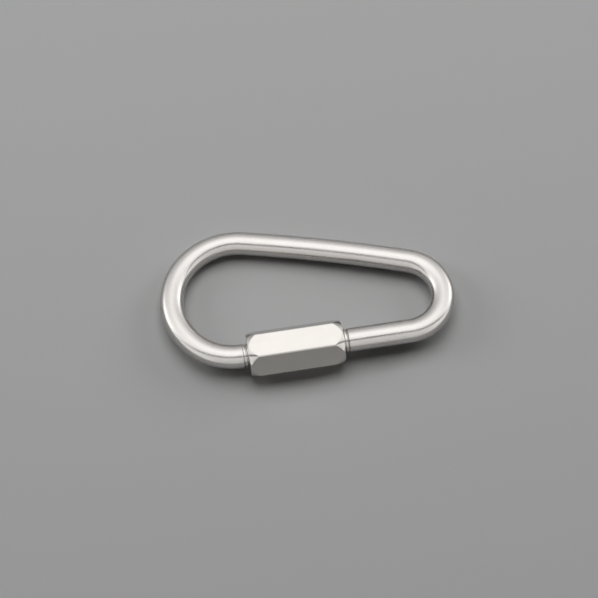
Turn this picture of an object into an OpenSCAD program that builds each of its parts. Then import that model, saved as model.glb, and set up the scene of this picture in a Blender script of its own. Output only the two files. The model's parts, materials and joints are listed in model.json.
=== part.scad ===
// Chain quick link: a pear-shaped loop of round bar whose open side is closed by a screwed hex sleeve.
// The link lies on a flat of its sleeve and on the far side of its loop, with X along the sleeve.

/* [Bar] */
// Diameter of the round bar that the loop is bent from
bar_d = 8; // [6:0.1:9]

/* [Loop] */
// Radius of the wide end, to the middle of the bar
wide_r = 21.9; // [19:0.1:30]
// Radius of the bend between the short thread and the wide end, to the middle of the bar
corner_r = 19.2; // [16:0.1:22]
// Angle that this bend turns through
corner_turn = 59; // [30:1:80]
// Radius of the narrow end, to the middle of the bar
narrow_r = 13.7; // [11:0.1:18]
// Radius of the slight bow of the side across from the sleeve
far_r = 530; // [300:10:1200]
// Straight bar left between one bend and the next
bend_gap = 1; // [0.6:0.1:4]
// Amount by which bending draws the bar thinner
bend_draw = 0.06; // [0.04:0.01:0.2]
// Straight run of bar behind the closed sleeve, up to the narrow end
back_run = 22.8; // [20:0.1:40]

/* [Thread] */
// Pitch of the screw thread
thread_pitch = 1.25; // [0.8:0.05:1.5]
// Diametral play between the sleeve's thread and the bar's
thread_play = 0.12; // [0.06:0.01:0.2]
// Full bar between the short thread and the first bend
shank = 0.5; // [0.4:0.1:3]
// Thread left bare in front of the closed sleeve
bare_thread = 1.8; // [1.5:0.1:5]
// Length of the short thread inside the closed sleeve
front_grip = 4.8; // [4:0.1:8]
// Length of the long thread inside the closed sleeve's own thread
back_grip = 5.7; // [5:0.1:9]
// Clear gap between the two threaded ends
mouth = 8.5; // [7:0.1:10]
// Length of the cone where a thread runs out into the full bar
run_out = 0.4; // [0.2:0.05:0.6]
// Chamfer on the tips of the threaded ends
tip_chamfer = 0.8; // [0.3:0.1:1.2]

/* [Sleeve] */
// Width of the hex sleeve across its flats
sleeve_flats = 14; // [13:0.1:18]
// Length of the sleeve
sleeve_len = 31.5; // [30:0.1:40]
// Diameter of the flat ring on each end of the sleeve
sleeve_face_d = 13.7; // [12.5:0.1:13.9]
// Angle between the sleeve's axis and the cone that crowns its ends
crown_angle = 21; // [20:1:60]
// Gap all round between the bar and the plain bore at the back of the sleeve
bar_gap = 0.3; // [0.2:0.05:0.5]
// Chamfer on the mouths of the sleeve's bore
bore_chamfer = 0.6; // [0.2:0.1:0.8]

/* [Hidden] */
$fn = 96;
steel = [0.80, 0.79, 0.77];
bright_steel = [0.86, 0.85, 0.83];

// A 60 degree metric thread: its pitch diameter lies this share of the pitch below its crests
pitch_depth = 0.6495;
thread_mid_d = bar_d - pitch_depth * thread_pitch;
rod_thread_d = thread_mid_d - thread_play / 2;
sleeve_thread_d = thread_mid_d + thread_play / 2;
plain_bore_d = bar_d + 2 * bar_gap;
drill_tip = 59;

// Places along the sleeve's axis, from the front face of the closed sleeve
sleeve_thread_end = front_grip + mouth + back_grip;
sleeve_travel = thread_pitch * ceil((front_grip + mouth) / thread_pitch);
back_thread_end = sleeve_thread_end + sleeve_travel + run_out;
narrow_start = sleeve_len + back_run;

// Directions in the plane of the loop after a turn: out of the bend, and on along the bar
function outward(turn) = [-sin(turn), -cos(turn)];
function onward(turn) = [-cos(turn), sin(turn)];

// Centres of the four bends, in the plane of the loop
corner_c = [-bare_thread - shank, corner_r];
wide_c = corner_c + (corner_r - wide_r) * outward(corner_turn) + bend_gap * onward(corner_turn);
narrow_c = [narrow_start, narrow_r];
ends_apart = norm(narrow_c - wide_c);
ends_angle = atan2(narrow_c.y - wide_c.y, narrow_c.x - wide_c.x);
far_to_wide = norm([far_r - wide_r, bend_gap]);
far_to_narrow = norm([far_r - narrow_r, bend_gap]);
far_angle = acos((far_to_wide ^ 2 + ends_apart ^ 2 - far_to_narrow ^ 2) / (2 * far_to_wide * ends_apart));
far_c = wide_c + far_to_wide * [cos(ends_angle - far_angle), sin(ends_angle - far_angle)];

// Turns, from the front thread round the loop, at which the far side begins and ends
function turn_of(from, to) = 270 - atan2(to.y - from.y, to.x - from.x);
wide_turn = turn_of(far_c, wide_c) + atan(bend_gap / (far_r - wide_r));
far_turn = turn_of(far_c, narrow_c) - atan(bend_gap / (far_r - narrow_r));

// Each bend's centre, radius, first turn and last turn
bends = [
    [corner_c, corner_r, 0, corner_turn],
    [wide_c, wide_r, corner_turn, wide_turn],
    [far_c, far_r, wide_turn, far_turn],
    [narrow_c, narrow_r, far_turn, 360],
];

// The loop leans until its far side meets the surface that the sleeve's flat rests on
far_reach = wide_c.y + wide_r;
lean = asin((sleeve_flats - bar_d) / 2 / far_reach);
sleeve_corner_r = sleeve_flats / 2 / cos(30);
mid_x = (wide_c.x - wide_r + narrow_c.x + narrow_r) / 2;
mid_y = (far_reach * cos(lean) + bar_d / 2 - sleeve_corner_r) / 2;

// Moves the sleeve's axis to its height, with the link's middle over the origin
module seated() {
    translate([-mid_x, -mid_y, sleeve_flats / 2]) children();
}

// Turns a profile of [radius, place along the axis] points round the sleeve's axis
module turned(profile) {
    rotate([0, 90, 0]) rotate_extrude() polygon(profile);
}

// One bend of the bar, let a little way into the straight bar at each of its ends
module bent_bar(centre, radius, first_turn, last_turn) {
    overlap = bend_gap / 4;
    overlap_turn = overlap / radius * 180 / PI;
    translate(centre) rotate(270 - last_turn - overlap_turn)
        rotate_extrude(angle = last_turn - first_turn + 2 * overlap_turn, $fn = 240)
            translate([radius, 0]) circle(d = bar_d - bend_draw);
}

// The straight bar after a bend
module straight_bar(centre, radius, turn) {
    translate(centre + radius * outward(turn)) rotate(180 - turn) rotate([0, 90, 0])
        cylinder(d = bar_d, h = bend_gap);
}

// The threaded end beside the wide end of the loop
module front_end() {
    turned([
        [0, -bare_thread - shank],
        [bar_d / 2, -bare_thread - shank],
        [bar_d / 2, -bare_thread],
        [rod_thread_d / 2, -bare_thread + run_out],
        [rod_thread_d / 2, front_grip - tip_chamfer],
        [rod_thread_d / 2 - tip_chamfer, front_grip],
        [0, front_grip],
    ]);
}

// The longer threaded end, which the sleeve runs back along
module back_end() {
    back_tip = front_grip + mouth;
    turned([
        [0, back_tip],
        [rod_thread_d / 2 - tip_chamfer, back_tip],
        [rod_thread_d / 2, back_tip + tip_chamfer],
        [rod_thread_d / 2, back_thread_end],
        [bar_d / 2, back_thread_end + run_out],
        [bar_d / 2, narrow_start],
        [0, narrow_start],
    ]);
}

// The loop, one bar bent to shape and threaded at both ends
module link_body() {
    color(steel) seated() rotate([-lean, 0, 0]) {
        front_end();
        back_end();
        for (bend = bends) bent_bar(bend[0], bend[1], bend[2], bend[3]);
        for (bend = bends) if (bend[3] < 360) straight_bar(bend[0], bend[1], bend[3]);
    }
}

// The turned blank that crowns both ends of the hex
module crowned_blank() {
    face_r = sleeve_face_d / 2;
    blank_r = sleeve_corner_r + 1;
    crown_len = (blank_r - face_r) / tan(crown_angle);
    turned([
        [0, 0],
        [face_r, 0],
        [blank_r, crown_len],
        [blank_r, sleeve_len - crown_len],
        [face_r, sleeve_len],
        [0, sleeve_len],
    ]);
}

// The bore: thread in front, plain behind so that it passes over the bar
module sleeve_bore() {
    thread_r = sleeve_thread_d / 2;
    plain_r = plain_bore_d / 2;
    tip_len = (plain_r - thread_r) / tan(drill_tip);
    past = 1;
    turned([
        [0, -past],
        [thread_r + bore_chamfer + past, -past],
        [thread_r, bore_chamfer],
        [thread_r, sleeve_thread_end],
        [plain_r, sleeve_thread_end + tip_len],
        [plain_r, sleeve_len - bore_chamfer],
        [plain_r + bore_chamfer + past, sleeve_len + past],
        [0, sleeve_len + past],
    ]);
}

// The hex sleeve that screws across the mouth of the loop
module sleeve_nut() {
    color(bright_steel) seated() difference() {
        intersection() {
            rotate([0, 90, 0]) rotate(30) cylinder(r = sleeve_corner_r, h = sleeve_len, $fn = 6);
            crowned_blank();
        }
        sleeve_bore();
    }
}

link_body();
sleeve_nut();
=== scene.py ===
"""The looks of a chain quick link.

A satin stainless bar is bent to a pear-shaped loop, and a screwed hex sleeve closes it.
"""

import json
import math

import bmesh
import bpy
from mathutils import Matrix, Vector


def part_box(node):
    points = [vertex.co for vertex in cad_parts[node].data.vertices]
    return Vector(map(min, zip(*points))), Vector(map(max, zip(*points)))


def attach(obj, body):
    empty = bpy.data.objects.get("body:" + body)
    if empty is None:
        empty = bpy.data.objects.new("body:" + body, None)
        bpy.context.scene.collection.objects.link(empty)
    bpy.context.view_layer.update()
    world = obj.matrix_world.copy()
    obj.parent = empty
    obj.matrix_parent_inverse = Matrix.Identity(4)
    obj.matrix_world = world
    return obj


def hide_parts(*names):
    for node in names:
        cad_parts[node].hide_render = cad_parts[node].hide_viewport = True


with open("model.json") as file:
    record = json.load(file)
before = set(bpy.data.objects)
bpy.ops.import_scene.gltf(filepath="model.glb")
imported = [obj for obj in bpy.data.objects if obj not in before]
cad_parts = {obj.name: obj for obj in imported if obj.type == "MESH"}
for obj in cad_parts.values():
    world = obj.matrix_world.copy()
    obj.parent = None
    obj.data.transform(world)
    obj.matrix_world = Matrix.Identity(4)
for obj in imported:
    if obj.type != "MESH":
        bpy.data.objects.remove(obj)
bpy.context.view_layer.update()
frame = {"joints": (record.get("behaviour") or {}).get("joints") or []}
sleeve_low, sleeve_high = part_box("sleeve_nut")
sleeve_joint = frame["joints"][0]

MM = 0.001

# Bar and loop, at the sizes that the solids have, but drawn a hair thinner in the bends
BAR_R = 4.0 * MM
BENT_R = 3.96 * MM
WIDE_R = 21.9 * MM
CORNER_R = 19.2 * MM
CORNER_TURN = math.radians(59)
NARROW_R = 13.7 * MM
FAR_R = 530.0 * MM
BEND_GAP = 1.0 * MM
BACK_RUN = 22.8 * MM
SHANK = 0.5 * MM
BARE_THREAD = 1.8 * MM
FRONT_GRIP = 4.8 * MM
MOUTH = 8.5 * MM
BACK_GRIP = 5.7 * MM
RUN_OUT = 0.4 * MM
TIP_CHAMFER = 0.8 * MM

# Thread: 60 degree flanks and broad crests, either side of the solids' plain thread cylinders
PITCH = 1.25 * MM
HALF_FLANK = math.radians(30)
HALF_CREST = 0.3 * MM
ROD_MID_R = 3.564 * MM
ROD_CREST_R = 3.9 * MM
ROD_ROOT_R = 3.5 * MM
CORE_R = 3.2 * MM
BORE_MID_R = 3.624 * MM
BORE_CREST_R = 4.0 * MM
BORE_ROOT_R = 3.56 * MM

# Sleeve, measured from the frame where its box gives the size
SLEEVE_LEN = sleeve_high.x - sleeve_low.x
SLEEVE_FLAT_R = (sleeve_high.z - sleeve_low.z) / 2
SLEEVE_MID_Y = (sleeve_low.y + sleeve_high.y) / 2
SLEEVE_MID_Z = (sleeve_low.z + sleeve_high.z) / 2
SLEEVE_AXIS = Vector((sleeve_low.x, SLEEVE_MID_Y, SLEEVE_MID_Z))
SLEEVE_TRAVEL = sleeve_joint["range_m"][1]
SLEEVE_FACE_R = 6.85 * MM
CROWN_ANGLE = math.radians(21)
PLAIN_BORE_R = 4.3 * MM
BORE_CHAMFER = 0.6 * MM
DRILL_TIP = math.radians(59)
LONG_EDGE_EASE = 0.3 * MM
LONG_EDGE_SEGMENTS = 3
CROWN_EDGE_EASE = 0.08 * MM
CROWN_EDGE_SEGMENTS = 2

# Places along the sleeve's axis, from the front face of the closed sleeve
BACK_TIP = FRONT_GRIP + MOUTH
SLEEVE_THREAD_END = BACK_TIP + BACK_GRIP
BACK_THREAD_END = SLEEVE_THREAD_END + SLEEVE_TRAVEL + RUN_OUT

# Camera: a 36 mm sensor and a square picture, aimed near the middle of the link
SENSOR_W = 36.0
LENS = 103.5
CAMERA_AIM = Vector((-2.92, -2.03, 7.0)) * MM
CAMERA_DIST = 575.2 * MM
CAMERA_TURN = math.radians(10.3)
CAMERA_RISE = math.radians(64.48)
CAMERA_ROLL = math.radians(0.94)
CAMERA_NEAR = 0.01
CAMERA_FAR = 20.0

# Light tent: its brightness overhead, and shares of that by the sine of the height above the floor
TENT_LIGHT = 1.69
TENT_FOOT = 0.27
TENT_RISE = ((0.4, 0.42), (0.7, 0.58), (0.81, 0.73), (0.92, 0.94))
# Brighter panels of the tent, alike on both sides: turn from the back, height, narrowness and share of light
TENT_PANELS = (
    (math.radians(90), 0, 2.5, 0.62),
    (math.radians(180), 0, 6, 0.2),
    (math.radians(68), math.radians(8), 40, 1.0),
    (math.radians(140), math.radians(4), 80, 0.25),
    (0, math.radians(62), 10, 0.14),
)
SLIT_HEIGHT = math.radians(63)
SLIT_HALF = math.radians(6)
SLIT_EDGE = math.radians(3)
SLIT_LIGHT = 0.1

# Floor, and soft boxes over it: where they hang, how wide they are and their power
FLOOR_WIDTH = 6.0
LAMPS = (
    ("key_box", Vector((0, 0.35, 1.0)), 0.8, 8.8),
    ("left_box", Vector((-0.9, 0.35, 0.55)), 0.5, 4.0),
    ("right_box", Vector((0.9, 0.35, 0.55)), 0.5, 4.0),
)

# How finely round things are divided
BAR_SIDES = 64
TURN_STEPS = 128
THREAD_STEPS = 64
BEND_STEP = math.radians(3)
FAR_STEPS = 24
MERGE_DIST = 0.002 * MM
CUT_DIST = 0.0001 * MM
OVERLAP = 1.0 * MM
SMOOTH_ANGLE = math.radians(25)
CROWN_SHARPNESS = math.radians(20)
GRAIN = "straight_bar"


def outward(turn):
    """The way out of a bend after this turn, in the plane of the loop."""
    return Vector((-math.sin(turn), -math.cos(turn), 0))


def onward(turn):
    """The way on along the bar after this turn, in the plane of the loop."""
    return Vector((-math.cos(turn), math.sin(turn), 0))


def turn_between(start, end):
    """The turn at which the way out of a bend points from start to end."""
    return math.radians(270) - math.atan2(end.y - start.y, end.x - start.x)


# Centres and turns of the four bends, with the sleeve's axis as X and the closed sleeve's front face at zero
corner_c = Vector((-BARE_THREAD - SHANK, CORNER_R, 0))
wide_c = corner_c + (CORNER_R - WIDE_R) * outward(CORNER_TURN) + BEND_GAP * onward(CORNER_TURN)
narrow_start = SLEEVE_LEN + BACK_RUN
narrow_c = Vector((narrow_start, NARROW_R, 0))
ends_apart = (narrow_c - wide_c).length
ends_angle = math.atan2(narrow_c.y - wide_c.y, narrow_c.x - wide_c.x)
far_to_wide = math.hypot(FAR_R - WIDE_R, BEND_GAP)
far_to_narrow = math.hypot(FAR_R - NARROW_R, BEND_GAP)
far_angle = math.acos(
    (far_to_wide**2 + ends_apart**2 - far_to_narrow**2) / (2 * far_to_wide * ends_apart)
)
far_way = ends_angle - far_angle
far_c = wide_c + far_to_wide * Vector((math.cos(far_way), math.sin(far_way), 0))
wide_turn = turn_between(far_c, wide_c) + math.atan(BEND_GAP / (FAR_R - WIDE_R))
far_turn = turn_between(far_c, narrow_c) - math.atan(BEND_GAP / (FAR_R - NARROW_R))
BENDS = [
    (corner_c, CORNER_R, 0.0, CORNER_TURN),
    (wide_c, WIDE_R, CORNER_TURN, wide_turn),
    (far_c, FAR_R, wide_turn, far_turn),
    (narrow_c, NARROW_R, far_turn, math.tau),
]
LEAN = math.asin((SLEEVE_FLAT_R - BAR_R) / (wide_c.y + WIDE_R))

# The bar laid straight: its length to the end of the last bend, and what tells its two straight ends apart
bend_lengths = [(last - first) * radius for _, radius, first, last in BENDS]
BENDS_LEN = sum(bend_lengths) + BEND_GAP * (len(BENDS) - 1) - corner_c.x
OUT_OF_AXIS = 2 * BAR_R
MOUTH_MIDDLE = FRONT_GRIP + MOUTH / 2


def start_editing(piece):
    """Opens one piece in edit mode with nothing else selected."""
    bpy.ops.object.select_all(action="DESELECT")
    piece.select_set(True)
    bpy.context.view_layer.objects.active = piece
    bpy.ops.object.mode_set(mode="EDIT")
    bpy.ops.mesh.select_mode(type="VERT")


def stop_editing():
    """Goes back to object mode."""
    bpy.ops.object.mode_set(mode="OBJECT")


def named(name):
    """Names the piece that was just added, and its mesh."""
    piece = bpy.context.object
    piece.name = name
    piece.data.name = name
    return piece


def apply_modifier(piece, kind, **settings):
    """Gives a piece one modifier and applies it."""
    modifier = piece.modifiers.new(kind.lower(), kind)
    for setting, value in settings.items():
        setattr(modifier, setting, value)
    bpy.ops.object.select_all(action="DESELECT")
    piece.select_set(True)
    bpy.context.view_layer.objects.active = piece
    bpy.ops.object.modifier_apply(modifier=modifier.name)


def combine(piece, tool, operation):
    """Joins, cuts or trims a piece with a tool, which is then thrown away."""
    apply_modifier(piece, "BOOLEAN", object=tool, operation=operation, solver="EXACT")
    mesh = tool.data
    bpy.data.objects.remove(tool)
    bpy.data.meshes.remove(mesh)


def select_edges(piece, test):
    """Selects, in edit mode, the edges that pass a test and nothing else."""
    bpy.ops.mesh.select_mode(type="EDGE")
    bpy.ops.mesh.select_all(action="DESELECT")
    mesh = bmesh.from_edit_mesh(piece.data)
    for edge in mesh.edges:
        edge.select_set(bool(test(edge)))
    bmesh.update_edit_mesh(piece.data)


def close_up(piece):
    """Merges the doubles of a closed mesh, turns its faces outwards and drops needless vertices."""
    start_editing(piece)
    bpy.ops.mesh.select_all(action="SELECT")
    bpy.ops.mesh.remove_doubles(threshold=MERGE_DIST)
    bpy.ops.mesh.dissolve_degenerate(threshold=MERGE_DIST)
    bpy.ops.mesh.normals_make_consistent(inside=False)
    # Faces fold over each other at a vertex that has only two edges, once they are split into triangles
    bpy.ops.mesh.select_all(action="DESELECT")
    mesh = bmesh.from_edit_mesh(piece.data)
    for vert in mesh.verts:
        vert.select_set(len(vert.link_edges) == 2)
    bmesh.update_edit_mesh(piece.data)
    bpy.ops.mesh.dissolve_verts()
    stop_editing()


def drawn_line(name, outline):
    """An edge line drawn point by point above the X axis, each point a place along it and a radius."""
    bpy.ops.object.select_all(action="DESELECT")
    bpy.ops.mesh.primitive_plane_add(size=MM)
    line = named(name)
    start_editing(line)
    bpy.ops.mesh.merge(type="CENTER")
    place, radius = outline[0]
    bpy.ops.transform.translate(value=(place, 0, radius))
    for next_place, next_radius in outline[1:]:
        step = (next_place - place, 0, next_radius - radius)
        bpy.ops.mesh.extrude_vertices_move(TRANSFORM_OT_translate={"value": step})
        place, radius = next_place, next_radius
    stop_editing()
    return line


def turned(name, outline):
    """A turned solid: an outline that starts and ends on the X axis, spun about it."""
    solid = drawn_line(name, outline)
    start_editing(solid)
    bpy.ops.mesh.select_all(action="SELECT")
    bpy.ops.mesh.spin(steps=TURN_STEPS, angle=math.tau, center=(0, 0, 0), axis=(1, 0, 0))
    stop_editing()
    close_up(solid)
    return solid


def threaded(name, crest_r, root_r, start, end):
    """A solid right-hand thread from start to end: one tooth swept along its helix, then cut square."""
    half_foot = HALF_CREST + (crest_r - root_r) * math.tan(HALF_FLANK)
    first_tooth = PITCH * (math.floor(start / PITCH) - 1)
    tooth = [
        (first_tooth - PITCH / 2, root_r),
        (first_tooth - half_foot, root_r),
        (first_tooth - HALF_CREST, crest_r),
        (first_tooth + HALF_CREST, crest_r),
        (first_tooth + half_foot, root_r),
        (first_tooth + PITCH / 2, root_r),
    ]
    solid = drawn_line(name, tooth)
    turns = math.ceil((end - first_tooth) / PITCH) + 2
    apply_modifier(
        solid, "SCREW", axis="X", angle=math.tau, screw_offset=PITCH, iterations=turns,
        steps=THREAD_STEPS, render_steps=THREAD_STEPS,
        use_merge_vertices=True, merge_threshold=MERGE_DIST,
    )
    close_up(solid)
    start_editing(solid)
    for place, side in ((start, -1), (end, 1)):
        bpy.ops.mesh.select_all(action="SELECT")
        bpy.ops.mesh.bisect(
            plane_co=(place, 0, 0), plane_no=(side, 0, 0),
            use_fill=True, clear_outer=True, threshold=CUT_DIST,
        )
    stop_editing()
    close_up(solid)
    return solid


def extrude_ring(step, scale=1.0, middle=(0, 0, 0)):
    """Draws the selected ring of the bar on by a step, then scales it about its middle."""
    bpy.ops.mesh.extrude_region_move(TRANSFORM_OT_translate={"value": step})
    bpy.ops.transform.resize(value=(scale, scale, scale), center_override=middle)


def bent_bar():
    """The bar from one thread's run-out to the other's, drawn on round the four bends as one tube."""
    run_in = RUN_OUT * (BAR_R - CORE_R) / (BAR_R - ROD_MID_R)
    bpy.ops.object.select_all(action="DESELECT")
    bpy.ops.mesh.primitive_circle_add(
        vertices=BAR_SIDES, radius=CORE_R,
        location=(run_in - BARE_THREAD, 0, 0), rotation=(0, math.radians(90), 0),
    )
    bpy.ops.object.transform_apply(location=True, rotation=True, scale=True)
    bar = named("link_bar")
    start_editing(bar)
    bpy.ops.mesh.select_all(action="SELECT")
    extrude_ring((-run_in, 0, 0), BAR_R / CORE_R, (-BARE_THREAD, 0, 0))
    extrude_ring((-SHANK, 0, 0), BENT_R / BAR_R, (-BARE_THREAD - SHANK, 0, 0))
    for centre, radius, first_turn, last_turn in BENDS:
        angle = last_turn - first_turn
        steps = FAR_STEPS if radius == FAR_R else math.ceil(angle / BEND_STEP)
        bpy.ops.mesh.spin(steps=steps, angle=angle, center=centre, axis=(0, 0, 1))
        if last_turn < math.tau:
            extrude_ring(BEND_GAP * onward(last_turn))
    full_bar = narrow_start - BEND_GAP
    back_shoulder = BACK_THREAD_END + RUN_OUT
    extrude_ring((-BEND_GAP, 0, 0), BAR_R / BENT_R, (full_bar, 0, 0))
    extrude_ring((back_shoulder - full_bar, 0, 0))
    extrude_ring((-run_in, 0, 0), CORE_R / BAR_R, (back_shoulder - run_in, 0, 0))
    bpy.ops.mesh.select_all(action="SELECT")
    bpy.ops.mesh.fill_holes(sides=0)
    stop_editing()
    close_up(bar)
    return bar


def rod_thread(name, tip, root, inward):
    """One threaded end of the bar, chamfered at its tip. Inward is the way along X from tip to root."""
    low, high = sorted((tip - inward * OVERLAP, root))
    solid = threaded(name, ROD_CREST_R, ROD_ROOT_R, low, high)
    blank_r = ROD_CREST_R + OVERLAP
    tip_r = ROD_MID_R - TIP_CHAMFER
    blank = turned("tip_blank", [
        (tip, 0),
        (tip, tip_r),
        (tip + inward * (blank_r - tip_r), blank_r),
        (root + inward * OVERLAP, blank_r),
        (root + inward * OVERLAP, 0),
    ])
    combine(solid, blank, "INTERSECT")
    return solid


def straightened(place):
    """Where a point of the loop lies on the bar laid straight: along it, out of its bends and up."""
    if corner_c.x < place.x < narrow_start and place.y < OUT_OF_AXIS:
        along = -place.x if place.x < MOUTH_MIDDLE else BENDS_LEN + narrow_start - place.x
        return along, -place.y, place.z
    along = -corner_c.x
    options = []
    for centre, radius, first_turn, last_turn in BENDS:
        turn = turn_between(centre, place) % math.tau
        reach = math.hypot(place.x - centre.x, place.y - centre.y)
        past = max(first_turn - turn, turn - last_turn, 0)
        stray = past * radius + abs(reach - radius)
        options.append((stray, along + (turn - first_turn) * radius, reach - radius))
        along += (last_turn - first_turn) * radius + BEND_GAP
    _, along, out = min(options)
    return along, out, place.z


def lay_out_grain(bar):
    """Keeps each point's place on the straight bar, so that the drawn grain follows the bends."""
    grain = bar.data.attributes.new(GRAIN, "FLOAT_VECTOR", "POINT")
    for vert, entry in zip(bar.data.vertices, grain.data):
        entry.vector = straightened(vert.co)


def crowned_hex():
    """The sleeve's outside: a hex with eased long edges, its ends crowned on a lathe."""
    corner_r = SLEEVE_FLAT_R / math.cos(math.radians(30))
    bpy.ops.object.select_all(action="DESELECT")
    bpy.ops.mesh.primitive_cylinder_add(
        vertices=6, radius=corner_r, depth=SLEEVE_LEN + 2 * OVERLAP,
        location=(SLEEVE_LEN / 2, 0, 0), rotation=(0, math.radians(90), 0),
    )
    bpy.ops.object.transform_apply(location=True, rotation=True, scale=True)
    sleeve = named("hex_sleeve")
    start_editing(sleeve)
    select_edges(sleeve, lambda edge: abs((edge.verts[0].co - edge.verts[1].co).x) > SLEEVE_LEN / 2)
    bpy.ops.mesh.bevel(offset=LONG_EDGE_EASE, segments=LONG_EDGE_SEGMENTS, profile=0.5)
    stop_editing()
    crown_r = corner_r + OVERLAP
    crown_len = (crown_r - SLEEVE_FACE_R) / math.tan(CROWN_ANGLE)
    blank = turned("crown_blank", [
        (0, 0),
        (0, SLEEVE_FACE_R),
        (crown_len, crown_r),
        (SLEEVE_LEN - crown_len, crown_r),
        (SLEEVE_LEN, SLEEVE_FACE_R),
        (SLEEVE_LEN, 0),
    ])
    combine(sleeve, blank, "INTERSECT")
    start_editing(sleeve)
    bpy.ops.mesh.select_all(action="DESELECT")
    bpy.ops.mesh.edges_select_sharp(sharpness=CROWN_SHARPNESS)
    bpy.ops.mesh.bevel(offset=CROWN_EDGE_EASE, segments=CROWN_EDGE_SEGMENTS, profile=0.5)
    stop_editing()
    return sleeve


def bored_sleeve():
    """The sleeve: its crowned hex, tapped from the front and drilled plain from the back."""
    sleeve = crowned_hex()
    mouth_r = BORE_MID_R + BORE_CHAMFER
    countersink = turned("countersink", [
        (-OVERLAP, 0),
        (-OVERLAP, mouth_r + OVERLAP),
        (mouth_r - CORE_R, CORE_R),
        (mouth_r - CORE_R, 0),
    ])
    combine(sleeve, countersink, "DIFFERENCE")
    tap = threaded("tap", BORE_CREST_R, BORE_ROOT_R, -OVERLAP, SLEEVE_THREAD_END + OVERLAP)
    combine(sleeve, tap, "DIFFERENCE")
    tip_len = (PLAIN_BORE_R - CORE_R) / math.tan(DRILL_TIP)
    drill = turned("drill", [
        (SLEEVE_THREAD_END, 0),
        (SLEEVE_THREAD_END, CORE_R),
        (SLEEVE_THREAD_END + tip_len, PLAIN_BORE_R),
        (SLEEVE_LEN - BORE_CHAMFER, PLAIN_BORE_R),
        (SLEEVE_LEN + OVERLAP, PLAIN_BORE_R + BORE_CHAMFER + OVERLAP),
        (SLEEVE_LEN + OVERLAP, 0),
    ])
    combine(sleeve, drill, "DIFFERENCE")
    return sleeve


def seat(piece, lean):
    """Leans a finished piece about the sleeve's axis and moves it to its place in the frame."""
    bpy.ops.object.select_all(action="DESELECT")
    piece.select_set(True)
    bpy.context.view_layer.objects.active = piece
    piece.rotation_euler = (-lean, 0, 0)
    piece.location = SLEEVE_AXIS
    bpy.ops.object.transform_apply(location=True, rotation=True, scale=True)
    bpy.ops.object.shade_smooth_by_angle(angle=SMOOTH_ANGLE)


def linear(hex_colour):
    """A colour written as sRGB hex, as the linear values that a shader takes."""
    channels = [int(hex_colour[i:i + 2], 16) / 255 for i in (1, 3, 5)]
    return [c / 12.92 if c <= 0.04045 else ((c + 0.055) / 1.055) ** 2.4 for c in channels] + [1.0]


def add_node(tree, kind, inputs=None, **settings):
    """Adds one node with its settings. An input is a value, or the output socket that feeds it."""
    node = tree.nodes.new(kind)
    for setting, value in settings.items():
        setattr(node, setting, value)
    for socket, value in (inputs or {}).items():
        if isinstance(value, bpy.types.NodeSocket):
            tree.links.new(value, node.inputs[socket])
        else:
            node.inputs[socket].default_value = value
    return node


def new_material(name):
    """An empty node material and its tree."""
    material = bpy.data.materials.new(name)
    material.use_nodes = True
    material.node_tree.nodes.clear()
    return material, material.node_tree


def satin_stainless_bar():
    """Stainless round bar, drawn, bent and polished to a satin: bright, with faint grain along it."""
    material, tree = new_material("satin_stainless_bar")
    grain = add_node(tree, "ShaderNodeAttribute", attribute_name=GRAIN)
    # Draw marks are some hundredths of a millimetre wide, and are drawn coarser so that they show
    mark_len = 14 * MM
    mark_width = 0.35 * MM
    patch_width = 5 * MM
    stretch = (1 / mark_len, 1 / mark_width, 1 / mark_width)
    along = add_node(tree, "ShaderNodeMapping", {"Vector": grain.outputs["Vector"], "Scale": stretch})
    marks = add_node(tree, "ShaderNodeTexNoise", {
        "Vector": along.outputs["Vector"], "Scale": 1, "Detail": 3,
    })
    gloss = add_node(tree, "ShaderNodeMapRange", {
        "Value": marks.outputs["Fac"], "From Min": 0.3, "From Max": 0.7, "To Min": 0.22, "To Max": 0.32,
    })
    patches = add_node(tree, "ShaderNodeTexNoise", {
        "Vector": grain.outputs["Vector"], "Scale": 1 / patch_width, "Detail": 2,
    })
    tint = add_node(tree, "ShaderNodeMix", {
        "Factor": patches.outputs["Fac"], "A": linear("#c9c5c1"), "B": linear("#c0bdbb"),
    }, data_type="RGBA")
    relief = add_node(tree, "ShaderNodeBump", {
        "Height": marks.outputs["Fac"], "Strength": 0.25, "Distance": 0.004 * MM,
    })
    steel = add_node(tree, "ShaderNodeBsdfPrincipled", {
        "Base Color": tint.outputs["Result"], "Metallic": 1, "Roughness": gloss.outputs["Result"],
        "Normal": relief.outputs["Normal"],
    })
    add_node(tree, "ShaderNodeOutputMaterial", {"Surface": steel.outputs["BSDF"]})
    return material


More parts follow.
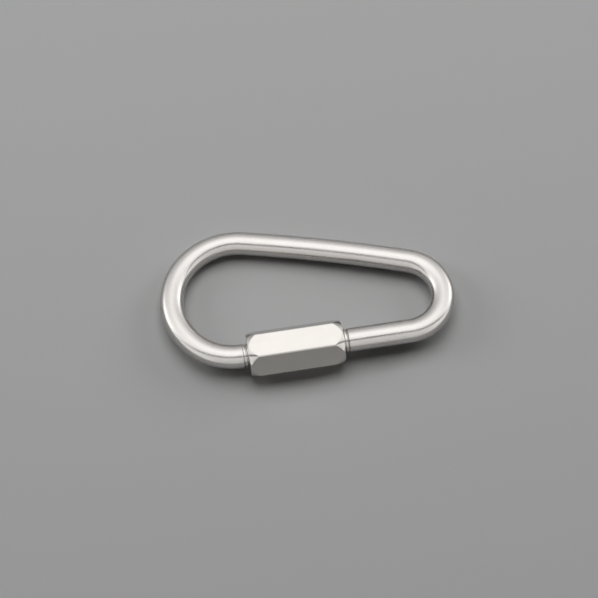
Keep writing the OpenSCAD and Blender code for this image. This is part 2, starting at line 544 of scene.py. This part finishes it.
def hex_marks(tree, place):
    """Draw lines along the hex's flats and tool rings on its crowns and ends, as one height."""
    # Both are some hundredths of a millimetre wide, and are drawn coarser so that they show
    line_len = 9 * MM
    line_width = 0.3 * MM
    ring_width = 0.25 * MM
    stretch = (1 / line_len, 1 / line_width, 1 / line_width)
    along = add_node(tree, "ShaderNodeMapping", {"Vector": place, "Scale": stretch})
    lines = add_node(tree, "ShaderNodeTexNoise", {
        "Vector": along.outputs["Vector"], "Scale": 1, "Detail": 3,
    })
    centred = add_node(tree, "ShaderNodeMapping", {"Vector": place, "Location": -SLEEVE_AXIS})
    across = add_node(tree, "ShaderNodeVectorMath", {
        0: centred.outputs["Vector"], 1: (0, 1, 1),
    }, operation="MULTIPLY")
    reach = add_node(tree, "ShaderNodeVectorMath", {0: across.outputs["Vector"]}, operation="LENGTH")
    rings = add_node(tree, "ShaderNodeTexNoise", {
        "W": reach.outputs["Value"], "Scale": 1 / ring_width, "Detail": 1,
    }, noise_dimensions="1D")
    surface = add_node(tree, "ShaderNodeNewGeometry")
    facing = add_node(tree, "ShaderNodeVectorMath", {0: surface.outputs["Normal"]}, operation="ABSOLUTE")
    endways = add_node(tree, "ShaderNodeSeparateXYZ", {"Vector": facing.outputs["Vector"]})
    turned_end = add_node(tree, "ShaderNodeMapRange", {
        "Value": endways.outputs["X"], "From Min": 0.15, "From Max": 0.25,
    })
    marks = add_node(tree, "ShaderNodeMix", {
        "Factor": turned_end.outputs["Result"], "A": lines.outputs["Fac"], "B": rings.outputs["Fac"],
    })
    return marks.outputs["Result"]


def bright_drawn_hex():
    """Stainless hex bar, bright drawn and turned at its ends: flats like soft mirrors, faintly lined."""
    material, tree = new_material("bright_drawn_stainless")
    place = add_node(tree, "ShaderNodeTexCoord").outputs["Object"]
    marks = hex_marks(tree, place)
    gloss = add_node(tree, "ShaderNodeMapRange", {
        "Value": marks, "From Min": 0.3, "From Max": 0.7, "To Min": 0.13, "To Max": 0.2,
    })
    patch_width = 4 * MM
    patches = add_node(tree, "ShaderNodeTexNoise", {
        "Vector": place, "Scale": 1 / patch_width, "Detail": 2,
    })
    tint = add_node(tree, "ShaderNodeMix", {
        "Factor": patches.outputs["Fac"], "A": linear("#c3bfbb"), "B": linear("#bdbab5"),
    }, data_type="RGBA")
    relief = add_node(tree, "ShaderNodeBump", {
        "Height": marks, "Strength": 0.25, "Distance": 0.004 * MM,
    })
    steel = add_node(tree, "ShaderNodeBsdfPrincipled", {
        "Base Color": tint.outputs["Result"], "Metallic": 1, "Roughness": gloss.outputs["Result"],
        "Normal": relief.outputs["Normal"],
    })
    add_node(tree, "ShaderNodeOutputMaterial", {"Surface": steel.outputs["BSDF"]})
    return material


def pale_paper():
    """Matt grey backing paper: plain, with no gloss."""
    material, tree = new_material("pale_paper")
    paper = add_node(tree, "ShaderNodeBsdfPrincipled", {
        "Base Color": linear("#9f9f9f"), "Roughness": 0.9, "Specular IOR Level": 0.1,
    })
    add_node(tree, "ShaderNodeOutputMaterial", {"Surface": paper.outputs["BSDF"]})
    return material


def tent_glow(tree):
    """How bright the tent is each way: most overhead and at its sides, least at the slit for the lens."""
    way = add_node(tree, "ShaderNodeTexCoord")
    parts = add_node(tree, "ShaderNodeSeparateXYZ", {"Vector": way.outputs["Generated"]})
    side, back, up = (parts.outputs[axis] for axis in "XYZ")
    roof = add_node(tree, "ShaderNodeValToRGB", {"Fac": up})
    stops = roof.color_ramp.elements
    stops[0].color = (TENT_FOOT, TENT_FOOT, TENT_FOOT, 1)
    for place, share in TENT_RISE:
        stops.new(place).color = (share, share, share, 1)
    breadth = add_node(tree, "ShaderNodeMath", {0: side}, operation="ABSOLUTE")
    either_side = add_node(tree, "ShaderNodeCombineXYZ", {"X": breadth.outputs[0], "Y": back, "Z": up})
    tent = roof.outputs["Color"]
    for turn, rise, narrowness, share in TENT_PANELS:
        level = math.cos(rise)
        panel = (math.sin(turn) * level, math.cos(turn) * level, math.sin(rise))
        near = add_node(tree, "ShaderNodeVectorMath", {
            0: either_side.outputs[0], 1: panel,
        }, operation="DOT_PRODUCT")
        facing = add_node(tree, "ShaderNodeMath", {0: near.outputs["Value"], 1: 0}, operation="MAXIMUM")
        spot = add_node(tree, "ShaderNodeMath", {0: facing.outputs[0], 1: narrowness}, operation="POWER")
        lit = add_node(tree, "ShaderNodeMath", {
            0: spot.outputs[0], 1: share, 2: tent,
        }, operation="MULTIPLY_ADD")
        tent = lit.outputs[0]
    front = add_node(tree, "ShaderNodeMath", {0: back, 1: -1}, operation="MULTIPLY")
    height = add_node(tree, "ShaderNodeMath", {0: up, 1: front.outputs[0]}, operation="ARCTAN2")
    off_slit = add_node(tree, "ShaderNodeMath", {
        0: height.outputs[0], 1: SLIT_HEIGHT,
    }, operation="SUBTRACT")
    away = add_node(tree, "ShaderNodeMath", {0: off_slit.outputs[0]}, operation="ABSOLUTE")
    slit = add_node(tree, "ShaderNodeMapRange", {
        "Value": away.outputs[0], "From Min": SLIT_HALF, "From Max": SLIT_HALF + SLIT_EDGE,
        "To Min": SLIT_LIGHT, "To Max": 1,
    }, interpolation_type="SMOOTHSTEP")
    glow = add_node(tree, "ShaderNodeMath", {0: tent, 1: slit.outputs[0]}, operation="MULTIPLY")
    return glow.outputs[0]


def light_tent():
    """A white tent lit from outside, for the steel to mirror. Past the floor the camera sees plain grey."""
    world = bpy.data.worlds.new("light_tent")
    world.use_nodes = True
    tree = world.node_tree
    tree.nodes.clear()
    light = add_node(tree, "ShaderNodeBackground", {"Color": tent_glow(tree), "Strength": TENT_LIGHT})
    plain = add_node(tree, "ShaderNodeBackground", {"Color": linear("#b4b4b4"), "Strength": 1})
    ray = add_node(tree, "ShaderNodeLightPath")
    shown = add_node(tree, "ShaderNodeMixShader", {
        "Fac": ray.outputs["Is Camera Ray"],
        1: light.outputs["Background"], 2: plain.outputs["Background"],
    })
    add_node(tree, "ShaderNodeOutputWorld", {"Surface": shown.outputs["Shader"]})
    world.cycles_visibility.diffuse = False
    bpy.context.scene.world = world


def soft_box(name, place, width, power):
    """A square soft box aimed at the link, which lights the floor while the steel mirrors the tent."""
    data = bpy.data.lights.new(name, "AREA")
    data.size = width
    data.energy = power
    lamp = bpy.data.objects.new(name, data)
    lamp.location = place
    lamp.rotation_euler = (-place).to_track_quat("-Z", "Y").to_euler()
    lamp.visible_camera = False
    lamp.visible_glossy = False
    bpy.context.scene.collection.objects.link(lamp)


def studio():
    """A pale floor in a light tent, shown as bright as it is."""
    bpy.ops.object.select_all(action="DESELECT")
    bpy.ops.mesh.primitive_plane_add(size=FLOOR_WIDTH)
    floor = named("floor")
    floor.data.materials.append(pale_paper())
    light_tent()
    for lamp in LAMPS:
        soft_box(*lamp)
    bpy.context.scene.view_settings.view_transform = "Standard"


def photo_camera():
    """A long lens above the front of the link, turned a little, as the photograph was taken."""
    data = bpy.data.cameras.new("camera")
    data.sensor_width = SENSOR_W
    data.lens = LENS
    data.clip_start = CAMERA_NEAR
    data.clip_end = CAMERA_FAR
    camera = bpy.data.objects.new("camera", data)
    level = math.cos(CAMERA_RISE)
    forward = Vector((math.sin(CAMERA_TURN) * level, math.cos(CAMERA_TURN) * level, -math.sin(CAMERA_RISE)))
    turn = forward.to_track_quat("-Z", "Y").to_matrix() @ Matrix.Rotation(CAMERA_ROLL, 3, "Z")
    place = CAMERA_AIM - CAMERA_DIST * forward
    camera.matrix_world = Matrix.LocRotScale(place, turn.to_quaternion(), None)
    bpy.context.scene.collection.objects.link(camera)
    bpy.context.scene.camera = camera


bar = bent_bar()
front_thread = rod_thread("front_thread", FRONT_GRIP, -BARE_THREAD - SHANK / 2, -1)
combine(bar, front_thread, "UNION")
back_thread = rod_thread("back_thread", BACK_TIP, BACK_THREAD_END + RUN_OUT + SHANK / 2, 1)
combine(bar, back_thread, "UNION")
close_up(bar)
lay_out_grain(bar)
seat(bar, LEAN)
bar.data.materials.append(satin_stainless_bar())
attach(bar, "loop")
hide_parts("link_body")

sleeve = bored_sleeve()
close_up(sleeve)
seat(sleeve, 0)
apply_modifier(sleeve, "WEIGHTED_NORMAL", keep_sharp=True)
sleeve.data.materials.append(bright_drawn_hex())
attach(sleeve, "sleeve")
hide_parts("sleeve_nut")

studio()
photo_camera()
